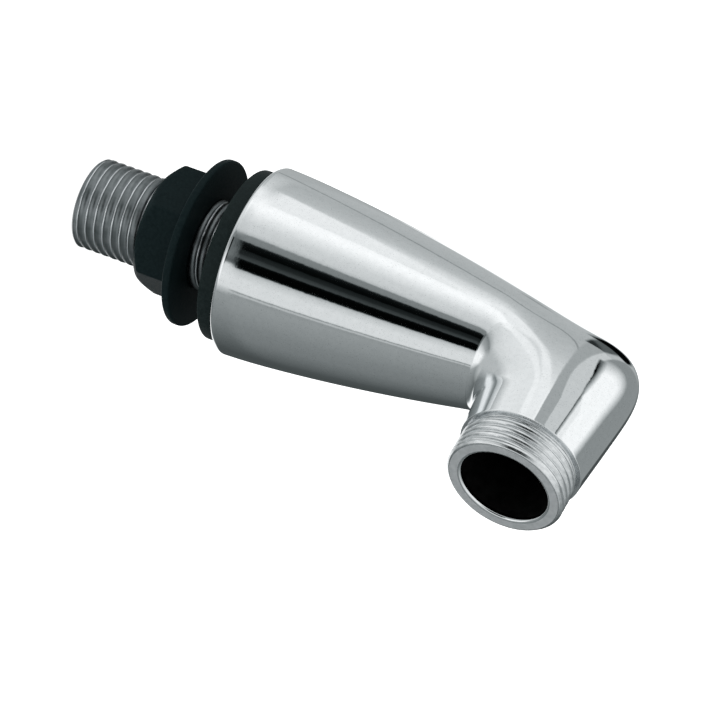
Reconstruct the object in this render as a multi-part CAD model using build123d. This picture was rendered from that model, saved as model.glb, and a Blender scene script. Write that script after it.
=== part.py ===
"""Bath mixer elbow: a chrome-plated cast pillar that turns a threaded deck tail into a side outlet.

The origin is the centre of the deck seat, which is the underside of the gasket. +Z runs up the
pillar from the deck, the tail hangs below the deck, and the outlet points along -Y.
All lengths are in millimetres.
"""

from build123d import *
from math import atan2, cos, radians, sin, sqrt
import os

# Tail: a tube with a half inch pipe thread, which passes through the deck
tail_radius = 10.4775
tail_pitch_radius = 9.9
tail_bore_radius = 7.75
tail_below_deck = 36.8
tail_chamfer = 0.9
tail_in_body = 12.0

# Outlet: a short three quarter inch male thread that takes the union nut of the mixer
outlet_thread_radius = 13.2205
outlet_thread_length = 8.6
outlet_bore_radius = 10.55
outlet_reach = 34.7
outlet_height = 79.8
outlet_chamfer = 0.5
bore_chamfer = 0.7

# Casting: a slightly bulged tapered pillar, a full corner and the outlet's barrel
base_radius = 22.1
base_edge_round = 2.0
neck_radius = 14.6
pillar_bulge = 1.0
shoulder_step = 0.6
barrel_taper = 0.8
crotch_radius = 3.5
corner_radius = 10.2
mitre_angle = 50.0
body_wall = 3.2
floor_thickness = 14.0

# Gasket: a flat rubber ring between the casting and the deck
gasket_radius = 19.8
gasket_thickness = 4.0
gasket_hole_clearance = 0.4

# Backnut: a moulded hexagon nut with a round flange, drawn up under the deck
deck_gap = 7.2
flange_radius = 19.4
flange_thickness = 1.9
flange_chamfer = 0.4
nut_across_flats = 26.6
nut_height = 10.6
nut_chamfer_radius = 12.7
nut_chamfer_height = 2.4
nut_turn = 25.9

# Radial gap where the tail's thread runs in the nut and in the casting
thread_clearance = 0.05

# Places that follow from the sizes above
base_z = gasket_thickness
floor_z = base_z + floor_thickness
shoulder_radius = outlet_thread_radius + shoulder_step
barrel_radius = shoulder_radius + barrel_taper
shoulder_y = -(outlet_reach - outlet_thread_length)
crotch_y = -(neck_radius + crotch_radius)
crotch_z = outlet_height - barrel_radius - crotch_radius
pillar_height = crotch_z - base_z
nut_top_z = -deck_gap
nut_low_z = nut_top_z - flange_thickness - nut_height
tapping_radius = tail_pitch_radius + thread_clearance
upward = (Align.CENTER, Align.CENTER, Align.MIN)


def pillar_radius(z):
    """Radius of the pillar's outside: a straight taper plus a bulge that is fullest half way up."""
    share = (z - base_z) / pillar_height
    straight = base_radius + (neck_radius - base_radius) * share
    return straight + 4 * pillar_bulge * share * (1 - share)


def outer_reach(angle):
    """Distance from the crotch pivot to the casting's outer outline, along a ray turned up by the angle.

    The outline is the back of the pillar and the top of the barrel, joined by a round corner.
    """
    back_lean = (neck_radius - base_radius - 4 * pillar_bulge) / pillar_height
    top_lean = barrel_taper / (crotch_y - shoulder_y)
    back = Vector(1, -back_lean).normalized()
    top = Vector(-top_lean, 1).normalized()
    pivot = Vector(crotch_y, crotch_z)
    back_distance = back.dot(Vector(neck_radius, crotch_z))
    top_distance = top.dot(Vector(crotch_y, outlet_height + barrel_radius))
    # The corner's centre lies one radius inside both lines
    determinant = back.X * top.Y - back.Y * top.X
    back_offset = back_distance - corner_radius
    top_offset = top_distance - corner_radius
    centre = Vector(
        (back_offset * top.Y - back.Y * top_offset) / determinant,
        (back.X * top_offset - back_offset * top.X) / determinant,
    )
    from_pivot = centre - pivot
    on_back = from_pivot + back * corner_radius
    on_top = from_pivot + top * corner_radius
    ray = Vector(cos(angle), sin(angle))
    if angle <= atan2(on_back.Y, on_back.X):
        return (back_distance - back.dot(pivot)) / back.dot(ray)
    if angle >= atan2(on_top.Y, on_top.X):
        return (top_distance - top.dot(pivot)) / top.dot(ray)
    aside = from_pivot.X * ray.Y - from_pivot.Y * ray.X
    return from_pivot.dot(ray) + sqrt(corner_radius**2 - aside**2)


def bend_width(angle):
    """Half width across the bend: a cubic that starts with the pillar's taper and ends with the barrel's."""
    bend_length = (crotch_radius + neck_radius) * radians(90)
    pillar_taper = (neck_radius - base_radius - 4 * pillar_bulge) / pillar_height
    outlet_taper = (shoulder_radius - barrel_radius) / (crotch_y - shoulder_y)
    share = angle / radians(90)
    across = neck_radius + (barrel_radius - neck_radius) * (3 - 2 * share) * share**2
    leaving = pillar_taper * bend_length * share * (1 - share) ** 2
    joining = outlet_taper * bend_length * share**2 * (share - 1)
    return across + leaving + joining


def bend_section(angle):
    """Section across the bend, in the plane through the crotch pivot that is turned up by the angle.

    It is half round towards the crotch and half an ellipse that reaches out to the full corner.
    """
    half_width = bend_width(angle)
    middle = crotch_radius + half_width
    outer_depth = max(outer_reach(angle) - middle, half_width)
    plane = Plane(
        origin=(0, crotch_y + middle * cos(angle), crotch_z + middle * sin(angle)),
        x_dir=(0, cos(angle), sin(angle)),
        z_dir=(0, -sin(angle), cos(angle)),
    )
    outer_half = EllipticalCenterArc((0, 0), outer_depth, half_width, start_angle=-90, arc_size=180)
    inner_half = EllipticalCenterArc((0, 0), half_width, half_width, start_angle=90, arc_size=180)
    return plane * make_face(Curve([outer_half, inner_half]))


def half_bend(low_angle, high_angle):
    """Loft through five sections about the crotch, which keeps each half of the corner smooth."""
    step = (high_angle - low_angle) / 4
    return loft([bend_section(radians(low_angle + step * i)) for i in range(5)])


def turned_pillar(low_z, inset, foot_round):
    """Solid of revolution under the pillar's bulged outline, up to the height of the crotch."""
    start_z = low_z + foot_round
    heights = (start_z, (start_z + crotch_z) / 2, crotch_z)
    start, middle, high = [(pillar_radius(height) - inset, height) for height in heights]
    edges = [ThreePointArc(start, middle, high), Polyline(high, (0, crotch_z), (0, low_z))]
    if foot_round:
        foot = (start[0] - foot_round, low_z)
        edges.append(Line((0, low_z), foot))
        edges.append(RadiusArc(foot, start, -foot_round))
    else:
        edges.append(Line((0, low_z), start))
    return revolve(make_face(Plane.XZ * Curve(edges)), Axis.Z)


def outlet_bar(start_y, end_y, start_radius, end_radius):
    """Round bar along the outlet's axis, with its own radius at each end."""
    length = start_y - end_y
    if start_radius == end_radius:
        bar = Cylinder(start_radius, length, align=upward)
    else:
        bar = Cone(start_radius, end_radius, length, align=upward)
    return Pos(0, start_y, outlet_height) * Rot(90, 0, 0) * bar


def make_casting():
    """Outside of the elbow: pillar, corner, barrel and threaded spigot in one piece."""
    casting = turned_pillar(base_z, 0, base_edge_round)
    casting += half_bend(0, mitre_angle) + half_bend(mitre_angle, 90)
    casting += outlet_bar(crotch_y, shoulder_y, barrel_radius, shoulder_radius)
    spigot = outlet_bar(shoulder_y, -outlet_reach, outlet_thread_radius, outlet_thread_radius)
    spigot_edge = spigot.edges().filter_by(GeomType.CIRCLE).sort_by(Axis.Y)[0]
    return casting + chamfer(spigot_edge, outlet_chamfer)


def make_waterway():
    """Cored passage: a tapering well in the pillar, a round corner, and the bore to the mouth."""
    well = turned_pillar(floor_z, body_wall, 0)
    rise = outlet_height - crotch_z
    throat = Pos(0, 0, crotch_z) * Cone(neck_radius - body_wall, outlet_bore_radius, rise, align=upward)
    corner = Pos(0, 0, outlet_height) * Sphere(outlet_bore_radius)
    bore = outlet_bar(0, -outlet_reach, outlet_bore_radius, outlet_bore_radius)
    flare_start_y = -outlet_reach + bore_chamfer
    flared_radius = outlet_bore_radius + bore_chamfer
    flare = outlet_bar(flare_start_y, -outlet_reach, outlet_bore_radius, flared_radius)
    return well + throat + corner + bore + flare


def make_elbow_body():
    """Casting with its waterway and the tapped hole in its floor."""
    tapping = Pos(0, 0, base_z) * Cylinder(tapping_radius, floor_thickness, align=upward)
    return make_casting() - make_waterway() - tapping


def make_threaded_tail():
    """Tube at its thread's full diameter, and at the pitch diameter where it runs in its mates."""
    length = tail_below_deck + base_z + tail_in_body
    bar = Pos(0, 0, -tail_below_deck) * Cylinder(tail_pitch_radius, length, align=upward)
    free = Cylinder(tail_radius, nut_low_z + tail_below_deck, align=upward)
    free_end = free.edges().filter_by(GeomType.CIRCLE).sort_by(Axis.Z)[0]
    bar += Pos(0, 0, -tail_below_deck) * chamfer(free_end, tail_chamfer)
    bar += Pos(0, 0, nut_top_z) * Cylinder(tail_radius, base_z - nut_top_z, align=upward)
    return bar - Pos(0, 0, -tail_below_deck) * Cylinder(tail_bore_radius, length, align=upward)


def make_base_gasket():
    """Flat ring that the casting stands on."""
    ring = Cylinder(gasket_radius, gasket_thickness, align=upward)
    return ring - Cylinder(tail_radius + gasket_hole_clearance, gasket_thickness, align=upward)


def make_backnut():
    """Hexagon nut with its lower corners turned off, in one piece with a thin round flange."""
    nut_corner_radius = nut_across_flats / sqrt(3)
    hexagon = Rot(0, 0, nut_turn) * RegularPolygon(nut_corner_radius, 6)
    turned = Cone(nut_chamfer_radius, nut_corner_radius, nut_chamfer_height, align=upward)
    turned += Pos(0, 0, nut_chamfer_height) * Cylinder(
        nut_corner_radius, nut_height - nut_chamfer_height, align=upward
    )
    flange = Cylinder(flange_radius, flange_thickness, align=upward)
    flange = chamfer(flange.edges().filter_by(GeomType.CIRCLE), flange_chamfer)
    nut = (extrude(hexagon, nut_height) & turned) + Pos(0, 0, nut_height) * flange
    nut -= Cylinder(tapping_radius, nut_height + flange_thickness, align=upward)
    return Pos(0, 0, nut_low_z) * nut


pieces = {
    "elbow_body": make_elbow_body(),
    "threaded_tail": make_threaded_tail(),
    "base_gasket": make_base_gasket(),
    "backnut": make_backnut(),
}

os.makedirs("parts", exist_ok=True)
for name, piece in pieces.items():
    export_step(piece, "parts/" + name + ".step")
    print(name, "volume", round(piece.volume), "mm3")
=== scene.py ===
"""Dressed bath mixer elbow: chrome casting, threaded tail, rubber gasket and moulded backnut.

Metres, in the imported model's own frame: the deck seat is the origin, +Z runs up the pillar and the
outlet points along -Y. Every surface is a grid of rows, each row one turn round a piece.
"""

import bpy
import numpy as np
from mathutils import Matrix, Vector


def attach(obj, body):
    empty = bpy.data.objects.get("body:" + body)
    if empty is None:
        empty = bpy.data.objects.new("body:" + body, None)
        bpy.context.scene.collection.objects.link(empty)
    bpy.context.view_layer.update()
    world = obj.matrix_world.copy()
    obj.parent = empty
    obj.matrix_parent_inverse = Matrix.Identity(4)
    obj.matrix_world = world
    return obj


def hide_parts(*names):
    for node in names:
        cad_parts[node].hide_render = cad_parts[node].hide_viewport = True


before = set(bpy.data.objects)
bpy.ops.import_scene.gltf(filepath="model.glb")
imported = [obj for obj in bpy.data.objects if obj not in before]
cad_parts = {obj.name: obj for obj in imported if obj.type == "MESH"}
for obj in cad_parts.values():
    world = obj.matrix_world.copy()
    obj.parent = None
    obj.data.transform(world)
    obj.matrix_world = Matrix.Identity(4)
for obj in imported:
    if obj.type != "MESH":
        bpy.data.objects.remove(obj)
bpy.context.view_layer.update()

# Elbow casting: brass, cast hollow, ground and polished, then nickel and chrome plated all over.
# It stands on a turned foot, bends into a short barrel and ends in a male thread round the open
# mouth. The mouth's face is only faced off and the bore is left as cast, so both are duller. The
# bore and the hollow inside are coloured near black as well, and that is painted shade.

base_z, foot_radius, foot_round = 0.004, 0.0221, 0.0012
neck_radius, pillar_bulge = 0.0146, 0.001
barrel_radius, shoulder_radius, spigot_radius = 0.0146205, 0.0138205, 0.0132205
outlet_height, outlet_reach, spigot_length = 0.0798, 0.0347, 0.0086
crotch_radius, corner_radius = 0.0035, 0.0102
neck_slimming, barrel_half_width, crotch_flattening = 0.0003, 0.0141, 0.25
foot_roll, foot_roll_height = 0.0003, 0.004
bore_radius, body_wall, floor_z = 0.0098, 0.0032, 0.018
outlet_pitch, outlet_thread_depth, outlet_thread_sharpness = 0.00182, 0.00085, 0.75
undercut_depth, shoulder_edge, mouth_chamfer = 0.0008, 0.00012, 0.0007
tapping_radius, passage_crotch_radius = 0.00995, 0.001
row_step, ease_reach, ease_times, casting_around = 0.0003, 5, 3, 192
bend_middle_radius = neck_radius + crotch_radius
crotch_y = -bend_middle_radius
crotch_z = outlet_height - barrel_radius - crotch_radius
shoulder_y = -(outlet_reach - spigot_length)
pillar_height = crotch_z - base_z


def pillar_radius(z):
    """Straight taper from foot to neck, plus a bulge that is a parabola over the height.

    The polishing wheel has rolled the foot in a little, which fades out exponentially upwards.
    """
    share = (z - base_z) / pillar_height
    straight = foot_radius + (neck_radius - foot_radius) * share
    rolled = foot_roll * np.exp(-(z - base_z) / foot_roll_height)
    return straight + 4 * pillar_bulge * share * (1 - share) - rolled


def outer_reach(angle):
    """Distance from the crotch pivot to the outer outline, along rays turned up by each angle.

    The outline is two straight lines, the pillar's back and the barrel's top, joined by an arc
    tangent to both. A ray meets a line at the line's distance over the cosine between them.
    """
    back_lean = (neck_radius - foot_radius - 4 * pillar_bulge) / pillar_height
    top_lean = (barrel_radius - shoulder_radius) / (crotch_y - shoulder_y)
    back = np.array([1, -back_lean]) / np.hypot(1, back_lean)
    top = np.array([-top_lean, 1]) / np.hypot(1, top_lean)
    pivot = np.array([crotch_y, crotch_z])
    back_distance = back @ [neck_radius, crotch_z]
    top_distance = top @ [crotch_y, outlet_height + barrel_radius]
    inside = [back_distance - corner_radius, top_distance - corner_radius]
    to_centre = np.linalg.solve([back, top], inside) - pivot
    on_back, on_top = to_centre + back * corner_radius, to_centre + top * corner_radius
    ray = np.stack([np.cos(angle), np.sin(angle)], 1)
    aside = to_centre[0] * ray[:, 1] - to_centre[1] * ray[:, 0]
    on_arc = ray @ to_centre + np.sqrt(np.maximum(corner_radius**2 - aside**2, 0))
    along_back = (back_distance - back @ pivot) / np.maximum(ray @ back, 1e-6)
    along_top = (top_distance - top @ pivot) / np.maximum(ray @ top, 1e-6)
    low, high = np.arctan2(on_back[1], on_back[0]), np.arctan2(on_top[1], on_top[0])
    return np.where(angle <= low, along_back, np.where(angle >= high, along_top, on_arc))


def level_rows(radius, z):
    """Rows of horizontal circles: inner y and z, outer y and z, half width."""
    radius, z = np.broadcast_arrays(np.asarray(radius, float), np.asarray(z, float))
    return np.column_stack([-radius, z, radius, z, radius])


def upright_rows(radius, y, axis_z=outlet_height):
    """Rows of upright circles round the outlet's axis, in the same five columns."""
    radius, y = np.broadcast_arrays(np.asarray(radius, float), np.asarray(y, float))
    return np.column_stack([y, axis_z - radius, y, axis_z + radius, radius])


def hermite(share, start, start_slope, end, end_slope):
    """Cubic that leaves start and reaches end with the given slopes per unit of share."""
    return (
        (2 * share**3 - 3 * share**2 + 1) * start
        + (share**3 - 2 * share**2 + share) * start_slope
        + (3 * share**2 - 2 * share**3) * end
        + (share**3 - share**2) * end_slope
    )


def eased(rows, reach, times):
    """Running average over 2 * reach + 1 rows, taken the given number of times.

    The rows are continued past both ends by point reflection, so that the ends keep their slope.
    """
    for _ in range(times):
        head = 2 * rows[0] - rows[reach:0:-1]
        tail = 2 * rows[-1] - rows[-2 : -reach - 2 : -1]
        padded = np.concatenate([head, rows, tail])
        total = np.cumsum(np.concatenate([padded[:1] * 0, padded]), axis=0)
        rows = (total[2 * reach + 1 :] - total[: -2 * reach - 1]) / (2 * reach + 1)
    return rows


def outer_rows(step):
    """Rows up the pillar, round the bend and along the barrel, with their joins eased.

    The pillar's half width is its radius less a parabola over the height. Round the bend it is a
    cubic that takes up the slopes on both sides, and along the barrel it runs straight.
    """
    z = np.arange(base_z + foot_round, crotch_z, step)
    pillar = level_rows(pillar_radius(z), z)
    up = (z - base_z) / pillar_height
    pillar[:, 4] -= neck_slimming * up * (5 - 4 * up)
    turn = np.pi / 2
    bend_length = turn * bend_middle_radius
    count = int(bend_length / step)
    angle = (np.arange(count) + 0.5) / count * turn
    ray = np.stack([np.cos(angle), np.sin(angle)], 1)
    pivot = np.array([crotch_y, crotch_z])
    lean = (neck_radius - foot_radius - 4 * pillar_bulge + 3 * neck_slimming) / pillar_height
    taper = -(barrel_half_width - shoulder_radius) / (crotch_y - shoulder_y)
    width = hermite(
        angle / turn,
        neck_radius - neck_slimming,
        lean * bend_length,
        barrel_half_width,
        taper * bend_length,
    )
    bend = np.column_stack(
        [pivot + crotch_radius * ray, pivot + outer_reach(angle)[:, None] * ray, width]
    )
    y = np.arange(crotch_y, shoulder_y, -step)
    share = (y - crotch_y) / (shoulder_y - crotch_y)
    barrel = upright_rows(barrel_radius + (shoulder_radius - barrel_radius) * share, y)
    barrel[:, 4] = barrel_half_width + (shoulder_radius - barrel_half_width) * share
    return eased(np.concatenate([pillar, bend, barrel]), ease_reach, ease_times)


def arc_rows(make, centre_radius, centre_along, size, start, stop, count):
    """Rows along a quarter round of a corner: radius and place both follow the arc's angle."""
    angle = np.radians(np.linspace(start, stop, count))
    return make(centre_radius + size * np.cos(angle), centre_along + size * np.sin(angle))


def ring_points(rows, around):
    """One turn through each row's inner and outer point, with the row's half width across.

    With v the angle round the row and c = cos v: x is width * sin v. Towards the inner point the
    turn is an ellipse as deep as it is wide, and flatter half way round the bend by a squared
    sine. What is left of the row's length is taken up towards the outer point, by the soft step
    c + sqrt(c^2 + 1/16), which is scaled to run from 0 to 2. A row as long as wide stays round.
    """
    v = np.arange(around) / around * 2 * np.pi
    c = np.cos(v)
    soft = 1 / 16
    step = c + np.sqrt(c**2 + soft) - (np.sqrt(1 + soft) - 1)
    inner, width = rows[:, 0:2], rows[:, 4:5]
    length = np.linalg.norm(rows[:, 2:4] - inner, axis=1)[:, None]
    along = (rows[:, 2:4] - inner) / length
    turn = np.clip(np.arctan2(along[:, 1:], along[:, :1]), 0, np.pi / 2)
    deep = width * (1 - crotch_flattening * np.sin(2 * turn) ** 2)
    place = deep * (1 + c) + np.maximum(length - 2 * deep, 0) * step / 2
    yz = inner[:, None] + along[:, None] * place[..., None]
    return np.concatenate([(width * np.sin(v))[..., None], yz], axis=2)


def thread_depth(turns, depth, sharpness):
    """Depth below the crest: 0 on the crest and full in the groove, once in every turn."""
    return depth * (1 - np.abs(np.sin(np.pi * turns)) ** sharpness)


def fade(value, start, stop):
    """Smooth step: 0 before start, 1 after stop, three squares less two cubes between."""
    share = np.clip((value - start) / (stop - start), 0, 1)
    return share * share * (3 - 2 * share)


def grid_piece(name, points, material_rows=None):
    """Smooth shaded mesh of a grid closed both ways: row i to i + 1, and round the row.

    Faces are turned outward where the sum of a . (b x c) over their first three corners, which
    has the sign of the volume inside, comes out negative.
    """
    rows, around = points.shape[:2]
    i, j = np.meshgrid(np.arange(rows), np.arange(around), indexing="ij")
    down, right = (i + 1) % rows, (j + 1) % around
    corners = [i * around + j, i * around + right, down * around + right, down * around + j]
    faces = np.stack(corners, 2).reshape(-1, 4)
    a, b, c = (points.reshape(-1, 3)[faces[:, k]] for k in (0, 1, 2))
    volume = np.sum(a * np.cross(b, c)) / 6
    if volume < 0:
        faces = faces[:, ::-1]
    mesh = bpy.data.meshes.new(name)
    mesh.from_pydata(points.reshape(-1, 3).tolist(), [], faces.tolist())
    if material_rows is not None:
        indices = np.repeat(material_rows, around).astype(np.int32)
        mesh.polygons.foreach_set("material_index", indices)
    mesh.polygons.foreach_set("use_smooth", np.ones(len(faces), bool))
    mesh.update()
    piece = bpy.data.objects.new(name, mesh)
    bpy.context.scene.collection.objects.link(piece)
    return piece


def passage_rows(count):
    """Rows round the waterway's corner, from level in the well to upright in the bore.

    They turn about a pivot just outside the passage, and the radius runs from the well's to the
    bore's in proportion to the angle.
    """
    angle = np.radians(np.linspace(90, 0, count))
    ray = np.stack([np.cos(angle), np.sin(angle)], 1)
    well_top = neck_radius - body_wall
    pivot = np.array([-well_top, outlet_height - bore_radius]) - passage_crotch_radius
    share = angle / (np.pi / 2)
    width = bore_radius + (well_top - bore_radius) * (1 - share)
    inner = pivot + passage_crotch_radius * ray
    return np.column_stack([inner, inner + 2 * width[:, None] * ray, width])


def shoulder_rows(radius, along):
    """Upright rows of the shoulder's edge: the place along is mirrored, so that it grows to -Y."""
    return upright_rows(radius, 2 * shoulder_y + shoulder_edge - along)


def mouth_rows(radius, along):
    """Upright rows of the mouth's inner chamfer: the radius is mirrored about its arc's centre."""
    return upright_rows(2 * (bore_radius + mouth_chamfer) - radius, -along)


# Next to a corner the rows stand 0.1 or 0.2 mm clear of it, which keeps it crisp when shaded.
# The number after each group is its material: plate, thread, faced mouth or bore (painted shade).
foot_arc_radius = pillar_radius(base_z + foot_round) - foot_round
spigot_y = np.arange(shoulder_y - 0.0002, -outlet_reach + 0.0009, -0.00013)
well_z = np.linspace(outlet_height - bore_radius - 0.0012, floor_z + 0.0002, 24)
well_radius = pillar_radius(well_z) - body_wall
floor_radius = pillar_radius(floor_z) - body_wall
sections = [
    (level_rows(np.linspace(tapping_radius, foot_arc_radius - 0.0002, 8), base_z), 0),
    (arc_rows(level_rows, foot_arc_radius, base_z + foot_round, foot_round, -90, -4, 14), 0),
    (outer_rows(row_step), 0),
    (arc_rows(shoulder_rows, shoulder_radius - shoulder_edge, shoulder_y, shoulder_edge, 0, 90, 4),
     0),
    (upright_rows(np.linspace(shoulder_radius - 2 * shoulder_edge, spigot_radius - undercut_depth,
                              4), shoulder_y), 1),
    (upright_rows(spigot_radius, spigot_y), 1),
    (upright_rows(np.linspace(spigot_radius - 0.0001, spigot_radius - 0.0006, 5),
                  np.linspace(-outlet_reach + 0.0007, -outlet_reach + 0.0001, 5)), 1),
    (upright_rows(np.linspace(spigot_radius - 0.0009, bore_radius + 0.0009, 5), -outlet_reach), 2),
    (arc_rows(mouth_rows, bore_radius + mouth_chamfer, outlet_reach - mouth_chamfer,
              mouth_chamfer, 90, 0, 7), 0),
    (upright_rows(bore_radius, np.linspace(-outlet_reach + 0.0012, -0.013, 16)), 3),
    (passage_rows(24), 3),
    (level_rows(well_radius, well_z), 3),
    (level_rows(np.linspace(floor_radius - 0.0002, tapping_radius + 0.00005, 8), floor_z), 3),
    (level_rows(tapping_radius, np.linspace(floor_z - 0.0001, base_z + 0.0001, 14)), 3),
]
casting_rows = np.concatenate([rows for rows, _ in sections])
casting_finish = np.concatenate([np.full(len(rows), finish) for rows, finish in sections])
casting_points = ring_points(casting_rows, casting_around)

# The thread is cut into the spigot: each point moves in towards the outlet's axis. The groove runs
# out at the shoulder, into a plain undercut.
first = sum(len(rows) for rows, _ in sections[:5])
spigot = casting_points[first : first + len(spigot_y)]
turns = spigot_y[:, None] / outlet_pitch + np.arange(casting_around) / casting_around
from_shoulder = shoulder_y - spigot_y
groove = thread_depth(turns, outlet_thread_depth, outlet_thread_sharpness)
groove = groove * fade(from_shoulder, 0.0002, 0.0011)[:, None]
undercut = undercut_depth * (1 - fade(from_shoulder, 0.0002, 0.001))[:, None]
scale = (spigot_radius - groove - undercut) / spigot_radius
axis = np.array([0, 0, outlet_height])
across = np.array([1, 0, 1])
spigot[:] = np.where(across, axis + (spigot - axis) * scale[..., None], spigot)

casting = grid_piece("elbow_casting", casting_points, casting_finish)


def node_material(name, base_color, metallic, roughness):
    """Principled material with its constant numbers on the shader's own sockets."""
    material = bpy.data.materials.new(name)
    material.use_nodes = True
    shader = material.node_tree.nodes["Principled BSDF"]
    shader.inputs["Base Color"].default_value = (*base_color, 1)
    shader.inputs["Metallic"].default_value = metallic
    shader.inputs["Roughness"].default_value = roughness
    return material, material.node_tree, shader


def add_node(tree, kind, inputs=(), **settings):
    """New node with its settings, and each input either a number or another node's output."""
    node = tree.nodes.new(kind)
    for key, value in settings.items():
        setattr(node, key, value)
    for key, value in dict(inputs).items():
        if isinstance(value, bpy.types.NodeSocket):
            tree.links.new(value, node.inputs[key])
        else:
            node.inputs[key].default_value = value
    return node


def object_noise(tree, scale, detail=3.0, roughness=0.55, stretch=(1, 1, 1)):
    """Noise on Object coordinates, in cycles a metre, stretched by a Mapping node."""
    place = add_node(tree, "ShaderNodeTexCoord").outputs["Object"]
    place = add_node(tree, "ShaderNodeMapping", {"Vector": place, "Scale": stretch}).outputs[0]
    return add_node(
        tree,
        "ShaderNodeTexNoise",
        {"Vector": place, "Scale": scale, "Detail": detail, "Roughness": roughness},
    ).outputs["Fac"]


def ranged(tree, value, low, high, out_low, out_high):
    """Value carried from one range to another, held at the ends."""
    return add_node(
        tree,
        "ShaderNodeMapRange",
        {0: value, 1: low, 2: high, 3: out_low, 4: out_high},
        clamp=True,
    ).outputs[0]


def mixed_color(tree, factor, first_color, second_color):
    """Colour that runs from the first to the second with the factor.

    The first colour may be another node's output.
    """
    node = add_node(tree, "ShaderNodeMix", data_type="RGBA")
    if isinstance(first_color, bpy.types.NodeSocket):
        tree.links.new(first_color, node.inputs["A"])
    else:
        node.inputs["A"].default_value = (*first_color, 1)
    node.inputs["B"].default_value = (*second_color, 1)
    tree.links.new(factor, node.inputs["Factor"])
    return node.outputs["Result"]


def add_bump(tree, shader, height, strength, distance):
    """Surface relief from a height, with its depth in metres."""
    inputs = {"Height": height, "Strength": strength, "Distance": distance}
    bump = add_node(tree, "ShaderNodeBump", inputs)
    tree.links.new(bump.outputs[0], shader.inputs["Normal"])


def grained(tree, shader, grain, colors, color_span, roughness, relief):
    """Colour, roughness and relief that all follow one noise.

    The colour runs from the first to the second over its span of the noise, and the roughness
    from low to high over 0.3 to 0.7. Relief is the bump's strength and its depth in metres.
    """
    share = ranged(tree, grain, *color_span, 0, 1)
    tree.links.new(mixed_color(tree, share, *colors), shader.inputs["Base Color"])
    tree.links.new(ranged(tree, grain, 0.3, 0.7, *roughness), shader.inputs["Roughness"])
    add_bump(tree, shader, grain, *relief)


chrome, tree, shader = node_material("polished_chrome", (0.82, 0.84, 0.85), 1.0, 0.05)
cloud = object_noise(tree, 900, 4)
pits = ranged(tree, object_noise(tree, 3800, 2), 0.60, 0.72, 0, 1)
share = ranged(tree, cloud, 0.35, 0.7, 0, 1)
plate = mixed_color(tree, share, (0.80, 0.82, 0.83), (0.85, 0.87, 0.88))
tree.links.new(mixed_color(tree, pits, plate, (0.62, 0.64, 0.65)), shader.inputs["Base Color"])
tree.links.new(ranged(tree, cloud, 0.3, 0.7, 0.03, 0.06), shader.inputs["Roughness"])
add_bump(tree, shader, object_noise(tree, 700, 2), 0.05, 0.0001)

thread_chrome, tree, shader = node_material("plated_thread", (0.7, 0.72, 0.73), 1.0, 0.16)
wear = object_noise(tree, 700, 4, stretch=(1, 2.5, 1))
worn_colors = (0.62, 0.64, 0.65), (0.8, 0.82, 0.83)
grained(tree, shader, wear, worn_colors, (0.35, 0.65), (0.15, 0.26), (0.05, 0.00006))

faced_metal, tree, shader = node_material("faced_mouth", (0.42, 0.44, 0.45), 0.4, 0.4)
grain = object_noise(tree, 900, 4)
faced_colors = (0.37, 0.39, 0.40), (0.46, 0.48, 0.49)
grained(tree, shader, grain, faced_colors, (0.3, 0.7), (0.32, 0.45), (0.1, 0.00006))

# The bore and the hollow inside are coloured near black, which is painted shade. The same noise
# gives the cast crust its roughness and relief, and gives the painted shade a little change of tone.
bore_shade_material, tree, shader = node_material("bore_painted_shade", (0.003, 0.003, 0.003), 0.0, 0.5)
shader.inputs["Specular IOR Level"].default_value = 0.15
crust_and_shade_noise = object_noise(tree, 500, 3)
bore_shade_colors = (0.001, 0.001, 0.001), (0.004, 0.004, 0.004)
grained(tree, shader, crust_and_shade_noise, bore_shade_colors, (0.3, 0.75), (0.4, 0.6), (0.2, 0.0002))

for material in (chrome, thread_chrome, faced_metal, bore_shade_material):
    casting.data.materials.append(material)
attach(casting, "root")
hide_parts("elbow_body")

# Threaded tail: a length of brass tube with a half inch pipe thread rolled along all of it, left
# dull. It is screwed up into the foot of the casting and passes down through the deck.

tail_radius, tail_pitch_radius, tail_bore_radius = 0.0104775, 0.0099, 0.00775
tail_low, tail_high, tail_chamfer = -0.0368, 0.016, 0.0006
nut_low, nut_top = -0.0197, -0.0072
tail_pitch, tail_thread_depth, tail_thread_sharpness = 0.00214, 0.0008, 0.5
thread_high, tail_around = 0.0042, 144
tail_z = np.arange(tail_low + tail_chamfer + 0.0001, thread_high, 0.00014)
tail_sections = [
    level_rows(np.linspace(tail_bore_radius, tail_radius - tail_chamfer - 0.0002, 6), tail_low),
    level_rows(np.linspace(tail_radius - tail_chamfer, tail_radius - 0.00015, 6),
               np.linspace(tail_low + 0.0001, tail_low + tail_chamfer, 6)),
    level_rows(tail_radius, tail_z),
    level_rows(tail_pitch_radius, np.linspace(0.0045, tail_high - 0.0002, 8)),
    level_rows(np.linspace(tail_pitch_radius - 0.0002, tail_bore_radius + 0.0002, 4), tail_high),
    level_rows(tail_bore_radius, np.linspace(tail_high - 0.0002, tail_low + 0.0002, 40)),
]
tail_rows = np.concatenate(tail_sections)
tail_points = ring_points(tail_rows, tail_around)
first = len(tail_sections[0]) + len(tail_sections[1])
tail_turns = tail_z[:, None] / tail_pitch + np.arange(tail_around) / tail_around
tail_depth = thread_depth(tail_turns, tail_thread_depth, tail_thread_sharpness)
# Where it runs in the nut and in the casting, the tail is plain at its pitch diameter
above_nut_low = fade(tail_z, nut_low - 0.0001, nut_low + 0.0001)
above_nut_top = fade(tail_z, nut_top - 0.0001, nut_top + 0.0001)
in_casting = fade(tail_z, base_z - 0.0003, base_z - 0.0001)
engaged = np.maximum(above_nut_low * (1 - above_nut_top), in_casting)[:, None]
tail_scale = (tail_radius - tail_depth) * (1 - engaged) + tail_pitch_radius * engaged
tail_points[first : first + len(tail_z), :, :2] *= tail_scale[..., None] / tail_radius
tail = grid_piece("tail_tube", tail_points)


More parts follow.
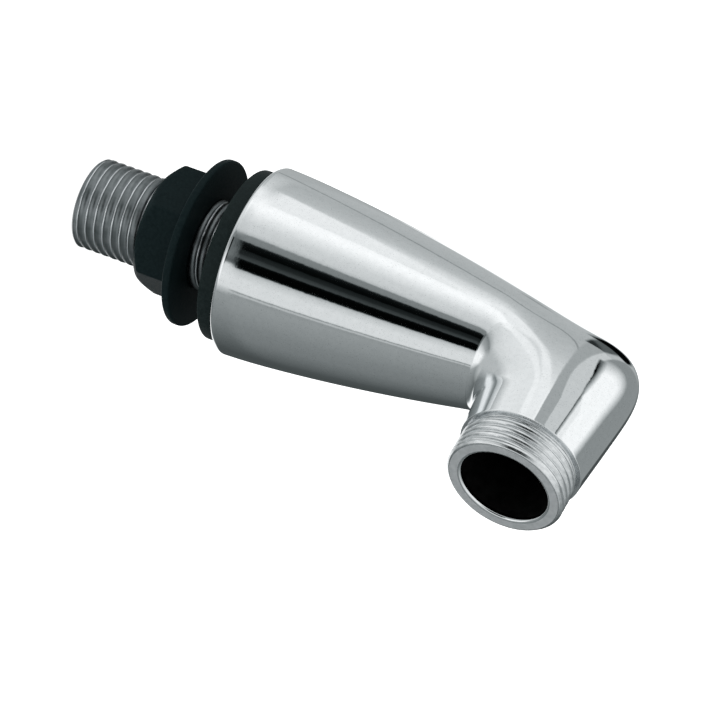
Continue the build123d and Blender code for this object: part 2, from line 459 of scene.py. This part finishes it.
def math_node(tree, operation, *values):
    """One step of arithmetic on numbers or other nodes' outputs, named as Blender names it."""
    node = add_node(tree, "ShaderNodeMath", dict(enumerate(values)), operation=operation)
    return node.outputs[0]


dull_metal, tree, shader = node_material("rolled_brass", (0.4, 0.43, 0.44), 1.0, 0.36)
place = add_node(tree, "ShaderNodeTexCoord").outputs["Object"]
place = add_node(tree, "ShaderNodeSeparateXYZ", {0: place}).outputs
# Turns of the thread's helix: its crest is half way through a turn, its groove where two meet
round_tail = math_node(tree, "ARCTAN2", place[0], place[1])
round_tail = math_node(tree, "MULTIPLY", round_tail, 0.5 / np.pi)
turn = math_node(tree, "MULTIPLY_ADD", place[2], 1 / tail_pitch, round_tail)
off_crest = math_node(tree, "SUBTRACT", math_node(tree, "FRACT", turn), 0.5)
off_crest = math_node(tree, "ABSOLUTE", off_crest)
# Near white along the groove: a painted highlight, a thin bright line down each turn of the thread
groove_highlight_mask = ranged(tree, off_crest, 0.40, 0.47, 0, 1)
smear = object_noise(tree, 500, 5, stretch=(1, 1, 0.4))
share = ranged(tree, smear, 0.3, 0.7, 0, 1)
crest = mixed_color(tree, share, (0.16, 0.18, 0.185), (0.25, 0.27, 0.28))
groove_painted_highlight = mixed_color(tree, groove_highlight_mask, crest, (0.85, 0.88, 0.9))
tree.links.new(groove_painted_highlight, shader.inputs["Base Color"])
tree.links.new(ranged(tree, smear, 0.3, 0.7, 0.3, 0.42), shader.inputs["Roughness"])
add_bump(tree, shader, object_noise(tree, 2200, 4), 0.15, 0.00006)
tail.data.materials.append(dull_metal)
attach(tail, "root")
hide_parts("threaded_tail")

# Base gasket: a ring of black rubber, moulded with slightly rounded edges, which the casting's
# foot presses against the deck. It stands a little inside the foot.

gasket_radius, gasket_hole, gasket_height = 0.0198, 0.0108775, 0.004
gasket_edge, gasket_around = 0.0004, 144


def turned_outline(corners, rounds, count=6):
    """Closed outline in radius and height with each corner turned into an arc.

    A corner's arc is the quadratic curve from one point its round before the corner to one after.
    """
    corners = np.array(corners, float)
    before, after = np.roll(corners, 1, 0), np.roll(corners, -1, 0)
    back = (before - corners) / np.linalg.norm(before - corners, axis=1)[:, None]
    ahead = (after - corners) / np.linalg.norm(after - corners, axis=1)[:, None]
    rounds = np.array(rounds, float)[:, None]
    start, end = corners + back * rounds, corners + ahead * rounds
    share = np.linspace(0, 1, count)[None, :, None]
    arcs = (1 - share) ** 2 * start[:, None] + 2 * share * (1 - share) * corners[:, None]
    return (arcs + share**2 * end[:, None]).reshape(-1, 2)


gasket_corners = [
    (gasket_hole, 0),
    (gasket_radius, 0),
    (gasket_radius, gasket_height),
    (gasket_hole, gasket_height),
]
gasket_outline = turned_outline(gasket_corners, [gasket_edge] * 4)
gasket_rows = level_rows(gasket_outline[:, 0], gasket_outline[:, 1])
gasket = grid_piece("rubber_gasket", ring_points(gasket_rows, gasket_around))
rubber, tree, shader = node_material("gasket_rubber", (0.007, 0.013, 0.013), 0.0, 0.6)
shader.inputs["Specular IOR Level"].default_value = 0.12
dust = object_noise(tree, 1200, 5)
rubber_colors = (0.004, 0.009, 0.009), (0.010, 0.017, 0.017)
grained(tree, shader, dust, rubber_colors, (0.35, 0.8), (0.5, 0.68), (0.25, 0.0001))
gasket.data.materials.append(rubber)
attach(gasket, "root")
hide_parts("base_gasket")

# Backnut: a hexagon nut moulded in black plastic in one piece with a thin round flange on top.
# Its outer corners are turned off, and it is run up the tail to clamp the deck.

flange_radius, flange_thickness = 0.0194, 0.0019
nut_half_flats, nut_turn, nut_hole = 0.0133, 25.9, 0.00995
nut_chamfer_radius, nut_chamfer_height = 0.0127, 0.0024
flange_low_round, flange_top_round = 0.0006, 0.0005
edge_sharpness, least_cosine, nut_around = 90, 0.2, 240
flange_low = nut_top - flange_thickness
nut_corner = nut_half_flats / np.cos(np.radians(30))
nut_wall_z = np.linspace(nut_low + 0.0003, flange_low - 0.0003, 26)
nut_rows = [
    level_rows(np.linspace(nut_hole, nut_chamfer_radius - 0.0004, 6), nut_low),
    level_rows(nut_corner, nut_wall_z),
    level_rows(np.linspace(nut_corner, flange_radius - 0.0005, 5), flange_low),
    arc_rows(level_rows, flange_radius - flange_low_round, flange_low + flange_low_round,
             flange_low_round, -90, 0, 6),
    arc_rows(level_rows, flange_radius - flange_top_round, nut_top - flange_top_round,
             flange_top_round, 0, 90, 6),
    level_rows(np.linspace(flange_radius - 0.0008, nut_hole + 0.0005, 6), nut_top),
    level_rows([nut_hole + 0.0002, nut_hole], [nut_top - 0.0001, nut_top - 0.0004]),
    level_rows(nut_hole, np.linspace(nut_top - 0.0008, nut_low + 0.0006, 12)),
]
nut_points = ring_points(np.concatenate(nut_rows), nut_around)

# Hexagon wall: the radius is the least of six flats and of the turned cone. Their inverses are
# joined by a high power, which rounds the edges where they meet.
wall = slice(len(nut_rows[0]), len(nut_rows[0]) + len(nut_wall_z))
around = np.arctan2(nut_points[wall, :, 1], nut_points[wall, :, 0]) - np.radians(nut_turn + 30)
sides = np.arange(6)[:, None, None] * np.pi / 3
flats = np.maximum(np.cos(around - sides), least_cosine) / nut_half_flats
cone_taper = (nut_corner - nut_chamfer_radius) / nut_chamfer_height
cone = nut_chamfer_radius + cone_taper * (nut_wall_z - nut_low)
inverse = np.concatenate([flats, (1 / cone)[None, :, None] * np.ones_like(flats[:1])])
joined = np.sum((inverse / inverse.max()) ** edge_sharpness, 0)
wall_radius = joined ** (-1 / edge_sharpness) / inverse.max()
nut_points[wall, :, :2] *= (wall_radius / nut_corner)[..., None]
nut = grid_piece("plastic_backnut", nut_points)
plastic, tree, shader = node_material("moulded_plastic", (0.006, 0.012, 0.013), 0.0, 0.45)
shader.inputs["Specular IOR Level"].default_value = 0.03
skin = object_noise(tree, 1600, 4)
plastic_colors = (0.004, 0.009, 0.010), (0.008, 0.015, 0.016)
grained(tree, shader, skin, plastic_colors, (0.3, 0.75), (0.38, 0.52), (0.35, 0.0001))
nut.data.materials.append(plastic)
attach(nut, "root")
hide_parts("backnut")

# Floor: a plain pale sheet that the tail's end stands on, lit up to white as in a light tent

floor_half_size, floor_glow = 3.0, 0.85
floor_points = np.array([[-1, -1, 0], [1, -1, 0], [1, 1, 0], [-1, 1, 0]]) * floor_half_size
floor_points[:, 2] = tail_low
floor_mesh = bpy.data.meshes.new("floor")
floor_mesh.from_pydata(floor_points.tolist(), [], [(0, 1, 2, 3)])
floor = bpy.data.objects.new("floor", floor_mesh)
bpy.context.scene.collection.objects.link(floor)
paper, tree, shader = node_material("pale_paper", (0.9, 0.9, 0.9), 0.0, 0.9)
shader.inputs["Emission Color"].default_value = (1, 1, 1, 1)
shader.inputs["Emission Strength"].default_value = floor_glow
floor.data.materials.append(paper)
floor.visible_glossy = False

# Light tent: white cloth all round with dark gaps between its panels, given by the direction
# that light comes from. Angles are degrees round from +X, and brightness is as the eye sees it.

tent_front = [
    (-180, 0.80), (-170, 0.77), (-166.5, 0.71), (-164.8, 0.49), (-160, 0.48), (-158.2, 0.46),
    (-157, 0.14), (-155.5, 0.06), (-152, 0.03), (-148.5, 0.02), (-147.4, 0.10), (-143, 0.14),
    (-141.6, 0.20), (-138.2, 0.25), (-137, 0.03), (-134, 0.01), (-127.8, 0.01), (-126.2, 0.10),
    (-125, 0.66), (-122, 0.76), (-114, 0.83), (-101.6, 0.83), (-100, 0.80), (-98.9, 0.48),
    (-98, 0.66), (-96.6, 0.72), (-95, 0.56), (-90, 0.57),
]
tent_side = [
    (-90, 0.57), (-75, 0.54), (-57, 0.49), (-39, 0.46), (-21, 0.39), (-3, 0.30), (12, 0.27),
    (36, 0.27), (42, 0.44), (50, 0.54), (62, 0.64), (72, 0.68), (97, 0.67), (103, 0.66),
    (112, 0.68), (120, 0.70), (126, 0.73), (131, 0.80), (141, 0.88), (147, 0.94), (156, 0.97),
    (162, 0.95), (170, 0.88), (180, 0.80),
]
tent_table = [
    (-180, 0.78), (-168, 0.74), (-165, 0.62), (-162, 0.44), (-157, 0.37), (-147, 0.41),
    (-138, 0.42), (-132, 0.34), (-129.5, 0.45), (-127, 0.80), (-114, 0.85), (-102, 0.83),
    (-98, 0.74), (-92, 0.57), (-76, 0.53), (-52, 0.46), (-28, 0.37), (-10, 0.31), (0, 0.28),
    (38, 0.28), (44, 0.46), (52, 0.60), (64, 0.64), (90, 0.66), (104, 0.74), (122, 0.79),
    (134, 0.90), (156, 0.94), (164, 0.85), (180, 0.78),
]
tent_ground = [
    (-180, 0.78), (-168, 0.66), (-162, 0.50), (-156, 0.55), (-147, 0.62), (-138, 0.80),
    (-126, 0.95), (-105, 0.94), (-96, 0.76), (-90, 0.60), (-76, 0.54), (-40, 0.45), (-16, 0.38),
    (-6, 0.50), (4, 0.97), (40, 0.97), (46, 0.80), (60, 0.74), (84, 0.60), (104, 0.62),
    (116, 0.76), (128, 0.88), (146, 0.86), (160, 0.84), (180, 0.78),
]
tent_roof = [
    (-180, 0.86), (-120, 0.90), (-60, 0.80), (0, 0.50), (36, 0.50), (60, 0.52), (80, 0.56),
    (88, 0.60), (104, 0.80), (112, 0.90), (125, 0.93), (150, 0.88), (180, 0.86),
]
# Each further part of the tent takes over between two heights, in degrees above the horizon.
# Straight above and below, where the directions round run together, the cloth is plain.
tent_parts = [
    (tent_roof, (12, 38)),
    (tent_table, (-13.7, -15.3)),
    (tent_ground, (-19, -22)),
    (0.80, (70, 82)),
    (0.70, (-58, -74)),
]
panel_change, seam_lean, seam_start, seam_level = 0.01, -1.7, 116.0, 0.50
cool_powers = 1.05, 1.0, 0.995
seen_level, tent_strength = 0.92, 1.25


def eye_to_light(level):
    """Linear light for a brightness as the eye sees it, by the usual display curve."""
    return ((level + 0.055) / 1.055) ** 2.4 if level > 0.04 else level / 12.92


def ramp_by_angle(tree, value, stops, low, high):
    """Colour ramp whose stops are given as angles between low and high."""
    share = ranged(tree, value, low, high, 0, 1)
    ramp = add_node(tree, "ShaderNodeValToRGB", {0: share})
    elements = ramp.color_ramp.elements
    elements.remove(elements[1])
    for index, (angle, level) in enumerate(stops):
        place = (angle - low) / (high - low)
        element = elements[0] if index == 0 else elements.new(place)
        element.position = place
        light = eye_to_light(level)
        element.color = (light, light, light, 1)
    return ramp.outputs[0]


def layered(tree, factor, below, above):
    """One light over another, by the factor. Above may be a level as the eye sees it."""
    node = add_node(tree, "ShaderNodeMix", data_type="RGBA")
    tree.links.new(factor, node.inputs["Factor"])
    tree.links.new(below, node.inputs["A"])
    if isinstance(above, float):
        light = eye_to_light(above)
        node.inputs["B"].default_value = (light, light, light, 1)
    else:
        tree.links.new(above, node.inputs["B"])
    return node.outputs["Result"]


def card(tree, azimuth, elevation, corners):
    """Share of a flat card that covers a direction, from its corners in degrees, going round it.

    Each corner is an azimuth, an elevation and the softness of the side that starts there. The
    distance inside each side is carried from -softness..softness to 0..1, and the shares of all
    sides are multiplied.
    """
    share = None
    for (x0, y0, soft), (x1, y1, _) in zip(corners, corners[1:] + corners[:1]):
        length = np.hypot(x1 - x0, y1 - y0)
        across, along = float(y0 - y1) / length, float(x1 - x0) / length
        inside = math_node(tree, "MULTIPLY_ADD", elevation, along, -across * x0 - along * y0)
        inside = math_node(tree, "MULTIPLY_ADD", azimuth, across, inside)
        side = ranged(tree, inside, -soft, soft, 0, 1)
        share = side if share is None else math_node(tree, "MULTIPLY", share, side)
    return share


world = bpy.data.worlds.new("light_tent")
bpy.context.scene.world = world
world.use_nodes = True
tree = world.node_tree
direction = add_node(tree, "ShaderNodeTexCoord").outputs["Generated"]
parts = add_node(tree, "ShaderNodeSeparateXYZ", {0: direction})
degree = np.degrees(1)
azimuth = math_node(tree, "ARCTAN2", parts.outputs[1], parts.outputs[0])
azimuth = math_node(tree, "MULTIPLY", azimuth, degree)
elevation = math_node(tree, "ARCSINE", parts.outputs[2])
elevation = math_node(tree, "MULTIPLY", elevation, degree)
front = ramp_by_angle(tree, azimuth, tent_front, -180, -90)
side = ramp_by_angle(tree, azimuth, tent_side, -90, 180)
at_side = ranged(tree, azimuth, -90 - panel_change, -90 + panel_change, 0, 1)
tent = layered(tree, at_side, front, side)
for part, heights in tent_parts:
    if isinstance(part, list):
        part = ramp_by_angle(tree, azimuth, part, -180, 180)
    tent = layered(tree, ranged(tree, elevation, *heights, 0, 1), tent, part)
# A narrow slanting seam below the horizon
seam = math_node(tree, "ADD", azimuth, -seam_start)
seam = math_node(tree, "MULTIPLY_ADD", elevation, seam_lean, seam)
seam = ranged(tree, math_node(tree, "ABSOLUTE", seam), 0.4, 1.3, 0.8, 0)
seam = math_node(tree, "MULTIPLY", seam, ranged(tree, elevation, 1, 3, 1, 0))
tent = layered(tree, seam, tent, seam_level)
# Cards hung inside the tent, each with its corners and its brightness. Later ones cover earlier.
cards = [
    (
        [(126, -13, 1), (150, -13, 1), (150, 1.5, 1), (146, 1, 1.2), (138, -2, 1.2),
         (131, -6.5, 1.2)],
        0.9,
    ),
    (
        [(101.5, -1, 0.7), (130, -0.5, 0.7), (140, 1, 0.7), (147, 3, 0.7), (158, 4, 0.7),
         (158, 40, 0.7), (101.5, 40, 0.5)],
        0.62,
    ),
    (
        [(101.5, 9, 0.8), (130, 8.5, 0.6), (146, 20, 0.6), (158, 28, 0.6), (158, 60, 0.8),
         (101.5, 60, 0.5)],
        0.76,
    ),
    (
        [(84, 9, 0.8), (101.8, 8.5, 0.8), (101.8, 18, 0.8), (84, 18, 0.8)],
        0.7,
    ),
    (
        [(30, 16.5, 1), (114, 16.5, 0.5), (122, 22, 0.5), (128, 32, 3), (128, 75, 5), (30, 75, 5)],
        0.53,
    ),
    (
        [(66, 72, 9), (119, 17.2, 0.5), (124, 21, 0.5), (127, 26, 0.5), (131, 34, 1),
         (131, 75, 1), (66, 80, 1)],
        0.95,
    ),
    (
        [(129, 31.2, 0.5), (141, 38.4, 0.5), (160, 50, 1), (160, 75, 1), (129, 75, 1)],
        0.9,
    ),
    (
        [(113.5, 13.5, 0.8), (120, 17.3, 0.5), (124, 21, 0.5), (127, 26, 0.5), (130.5, 33, 1),
         (129, 33.5, 3.5), (112, 17, 1.5)],
        0.02,
    ),
    (
        [(129, 31.2, 0.5), (141, 38.4, 1.5), (141, 41.5, 2.5), (129, 34.5, 1.5)],
        0.05,
    ),
    (
        [(84, -3, 0.8), (101.6, -1.6, 0.6), (101.6, 8.5, 1.5), (95, 11, 1.5), (84, 10, 1)],
        0.34,
    ),
    (
        [(92, -2.2, 0.6), (101.5, -1.5, 0.5), (101.5, 7, 2), (97, 4, 2)],
        0.16,
    ),
    (
        [(66, -5, 1), (84, -5, 0.8), (85, 0, 0.8), (84.5, 12, 1), (80, 15.5, 1), (74, 15, 1.5),
         (64, 9, 2), (58, 1, 2)],
        0.01,
    ),
    (
        [(36, -16, 1), (60, -14, 1), (72, -8, 1), (66, -5, 1), (52, -5, 1), (40, -9, 1)],
        1.0,
    ),
]
for corners, level in cards:
    tent = layered(tree, card(tree, azimuth, elevation, corners), tent, level)
# The greys are a little cool: red falls off faster towards the dark
split = add_node(tree, "ShaderNodeSeparateColor", {0: tent})
cool = add_node(tree, "ShaderNodeCombineColor")
for channel, power in enumerate(cool_powers):
    cooled = math_node(tree, "POWER", split.outputs[channel], power)
    tree.links.new(cooled, cool.inputs[channel])
seen = add_node(tree, "ShaderNodeLightPath").outputs["Is Camera Ray"]
tent = layered(tree, seen, cool.outputs[0], seen_level)
background = tree.nodes["Background"]
tree.links.new(tent, background.inputs["Color"])
background.inputs["Strength"].default_value = tent_strength

# Camera: turned on its side, so that the pillar runs across the picture as in the photograph

focal_pixels, picture_pixels, sensor_width = 2963.2, 720, 36.0
camera_data = bpy.data.cameras.new("camera")
camera_data.sensor_width = sensor_width
camera_data.lens = focal_pixels / picture_pixels * sensor_width
camera_data.clip_start, camera_data.clip_end = 0.01, 20
camera = bpy.data.objects.new("camera", camera_data)
bpy.context.scene.collection.objects.link(camera)
view = Vector((0.7497, 0.59751, -0.28449)).normalized()
right = Vector((-0.00675, 0.43677, 0.89955))
right = (right - view * right.dot(view)).normalized()
up = right.cross(view)
turned = Matrix((right, up, -view)).transposed().to_4x4()
turned.translation = Vector((-0.477314, -0.3965, 0.21894))
camera.matrix_world = turned
bpy.context.scene.camera = camera
bpy.context.scene.view_settings.view_transform = "Standard"
